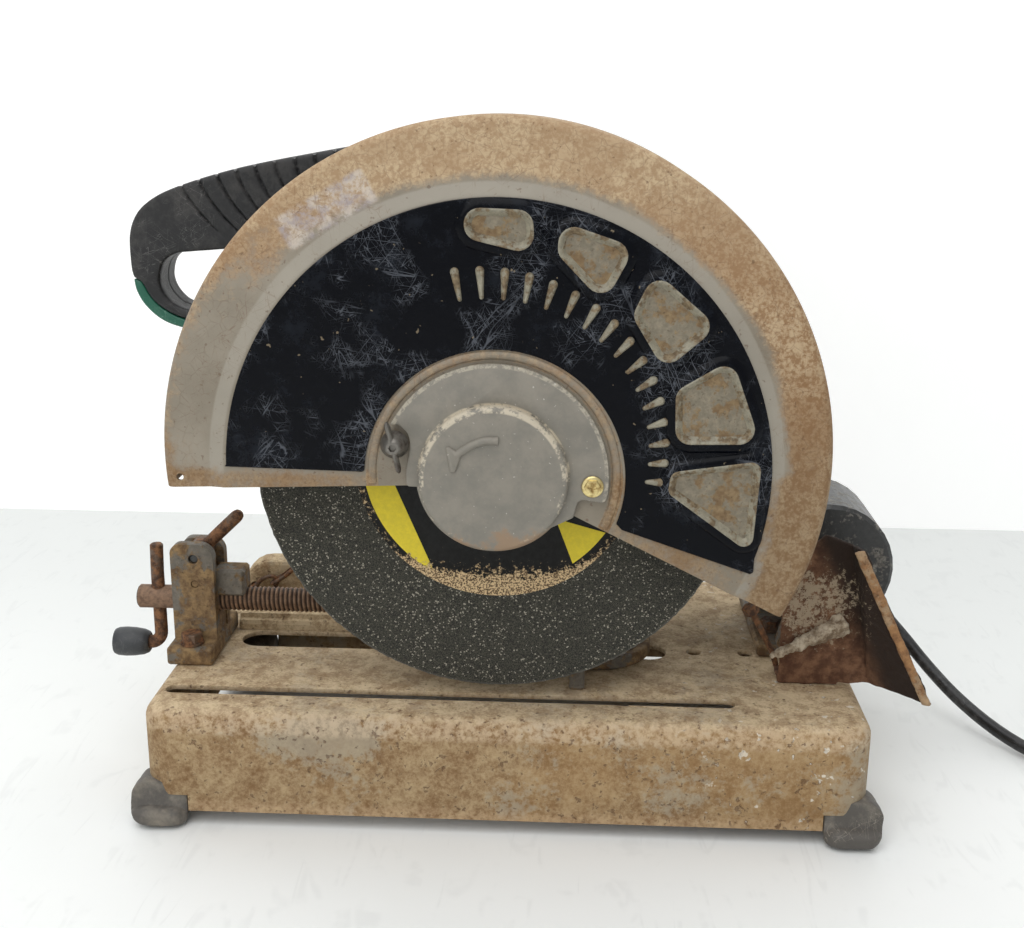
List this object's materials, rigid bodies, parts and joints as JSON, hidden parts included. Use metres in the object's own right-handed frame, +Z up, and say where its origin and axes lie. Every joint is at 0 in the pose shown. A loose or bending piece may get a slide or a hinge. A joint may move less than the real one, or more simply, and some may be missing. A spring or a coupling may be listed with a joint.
{
  "type": "abrasive chop saw",
  "caption": "Bench cut-off saw: pressed-steel base with quick vise and angle fence, hinged motor head with guarded abrasive wheel, loop handle, spark chute and power cord.",
  "frame": {"origin": "centre of the saw's bounding box, its cord aside, on the plane the rubber feet stand on", "axes": "+X to the hinge, spark chute and cord, +Y from the wheel guard to the motor's tail, +Z up; the wheel spins about +Y"},
  "size_m": [0.7951, 0.2754, 0.421],
  "materials": {
    "rusty_steel": "worn grey paint over rust",
    "cast_iron": "rough cast, rusted",
    "guard_paint": "dusty grey enamel",
    "head_casting": "painted dark grey, satin",
    "black_panel": "glossy, scratched",
    "cover_paint": "grey enamel, dusty",
    "abrasive": "resin-bonded grit, matte",
    "bright_steel": "machined, dulled",
    "zinc": "yellow zinc plating on steel",
    "brown_steel": "oxidised brown",
    "chute_steel": "scorched and crusted",
    "handle_rubber": "dusty black, satin",
    "green_plastic": "moulded, satin",
    "foot_rubber": "dull grey-black",
    "motor_plastic": "moulded, satin",
    "copper": "wound copper on steel core",
    "cord_rubber": "matte, scuffed"
  },
  "bodies": {
    "base": {"base_pan": "rusty_steel", "foot_front_left": "foot_rubber", "foot_front_right": "foot_rubber", "foot_rear_left": "foot_rubber", "foot_rear_right": "foot_rubber", "guide_rail": "rusty_steel", "hinge_bracket": "cast_iron", "hinge_shaft": "bright_steel", "torsion_spring": "bright_steel", "vise_bolt_front": "brown_steel", "vise_bolt_rear": "brown_steel", "fence_pivot_bolt": "brown_steel", "bracket_bolt_front": "brown_steel", "bracket_bolt_rear": "brown_steel", "chute_bolt": "brown_steel", "chain_bracket": "cast_iron", "chain_link": "brown_steel", "spark_chute": "chute_steel", "chute_stay": "brown_steel", "vise_holder": "cast_iron", "cord_sleeve": "cord_rubber", "cord_lead": "cord_rubber", "cord_coil": "cord_rubber", "cord_tail": "cord_rubber", "plug": "cord_rubber"},
    "head": {"gear_case": "head_casting", "wheel_guard": "guard_paint", "guard_back": "head_casting", "guard_panel": "black_panel", "bearing_plate": "head_casting", "spindle_bearing": "bright_steel", "stator": "head_casting", "motor_housing": "motor_plastic", "brush_cap_top": "handle_rubber", "brush_cap_bottom": "handle_rubber", "motor_tail_cover": "motor_plastic", "handle_front_shell": "handle_rubber", "handle_rear_shell": "handle_rubber", "handle_lower_cover": "green_plastic", "cover_screw": "zinc"},
    "wheel": {"spindle": "bright_steel", "abrasive_wheel": "abrasive", "inner_flange": "bright_steel", "outer_flange": "bright_steel", "wheel_bolt": "bright_steel", "drive_gear": "bright_steel"},
    "armature": {"armature": "copper"},
    "hub_cover": {"sub_cover": "cover_paint"},
    "wing": {"wing_bolt": "bright_steel"},
    "lock_pin": {"spindle_lock": "brown_steel"},
    "trigger": {"trigger": "handle_rubber"},
    "lock_on": {"lock_button": "handle_rubber"},
    "yoke": {"jaw_yoke": "cast_iron"},
    "crank": {"vise_screw": "brown_steel", "crank_rod": "brown_steel", "crank_knob": "foot_rubber"},
    "jaw": {"vise_jaw": "cast_iron"},
    "clutch_arm": {"clutch_lever": "brown_steel"},
    "half_nut": {"clutch_nut": "cast_iron"},
    "angle_fence": {"fence": "cast_iron"}
  },
  "joints": [
    {"name": "head_pivot", "type": "hinge", "parent": "base", "child": "head", "pos_m": [0.2093, 0.03075, 0.132], "axis": [0, 1, 0], "range_deg": [0, 40]},
    {"name": "wheel_spin", "type": "hinge", "parent": "head", "child": "wheel", "pos_m": [-0.0027, -0.09025, 0.226], "axis": [0, 1, 0], "continuous": true},
    {"name": "armature_spin", "type": "hinge", "parent": "head", "child": "armature", "pos_m": [0.04276, 0.02675, 0.27923], "axis": [0, 1, 0], "continuous": true},
    {"name": "hub_cover_swing", "type": "hinge", "parent": "head", "child": "hub_cover", "pos_m": [0.0524, -0.12525, 0.2221], "axis": [0, 1, 0], "range_deg": [-70, 0]},
    {"name": "wing_bolt_turn", "type": "hinge", "parent": "hub_cover", "child": "wing", "pos_m": [-0.0576, -0.13125, 0.2442], "axis": [0, 1, 0], "continuous": true},
    {"name": "spindle_lock_press", "type": "slide", "parent": "head", "child": "lock_pin", "axis": [0, -1, 0], "range_m": [0, 0.0035], "stiffness_N_per_m": 600},
    {"name": "trigger_squeeze", "type": "slide", "parent": "head", "child": "trigger", "axis": [0, 0, 1], "range_m": [0, 0.004], "stiffness_N_per_m": 600},
    {"name": "lock_button_press", "type": "slide", "parent": "head", "child": "lock_on", "axis": [0, -1, 0], "range_m": [0, 0.003], "stiffness_N_per_m": 500},
    {"name": "vise_slide", "type": "slide", "parent": "base", "child": "yoke", "axis": [1, 0, 0], "range_m": [-0.095, 0.006]},
    {"name": "screw_spin", "type": "hinge", "parent": "yoke", "child": "crank", "pos_m": [-0.2317, -0.02325, 0.109], "axis": [1, 0, 0], "continuous": true},
    {"name": "jaw_swivel", "type": "hinge", "parent": "yoke", "child": "jaw", "pos_m": [-0.0517, -0.02325, 0.109], "axis": [0, 0, 1], "range_deg": [-45, 45]},
    {"name": "clutch_lever_turn", "type": "hinge", "parent": "base", "child": "clutch_arm", "pos_m": [-0.2022, -0.02325, 0.1415], "axis": [0, 1, 0], "range_deg": [-95, 0]},
    {"name": "half_nut_turn", "type": "hinge", "parent": "base", "child": "half_nut", "pos_m": [-0.202, -0.02325, 0.1245], "axis": [0, 1, 0], "range_deg": [-23.75, 0]},
    {"name": "fence_swivel", "type": "hinge", "parent": "base", "child": "angle_fence", "pos_m": [0.0593, -0.01125, 0.075], "axis": [0, 0, 1], "range_deg": [0, 45]}
  ],
  "couplings": [
    {"joint": "armature_spin", "follows": "wheel_spin", "ratio": -3.6667},
    {"joint": "half_nut_turn", "follows": "clutch_lever_turn", "ratio": 0.25}
  ]
}
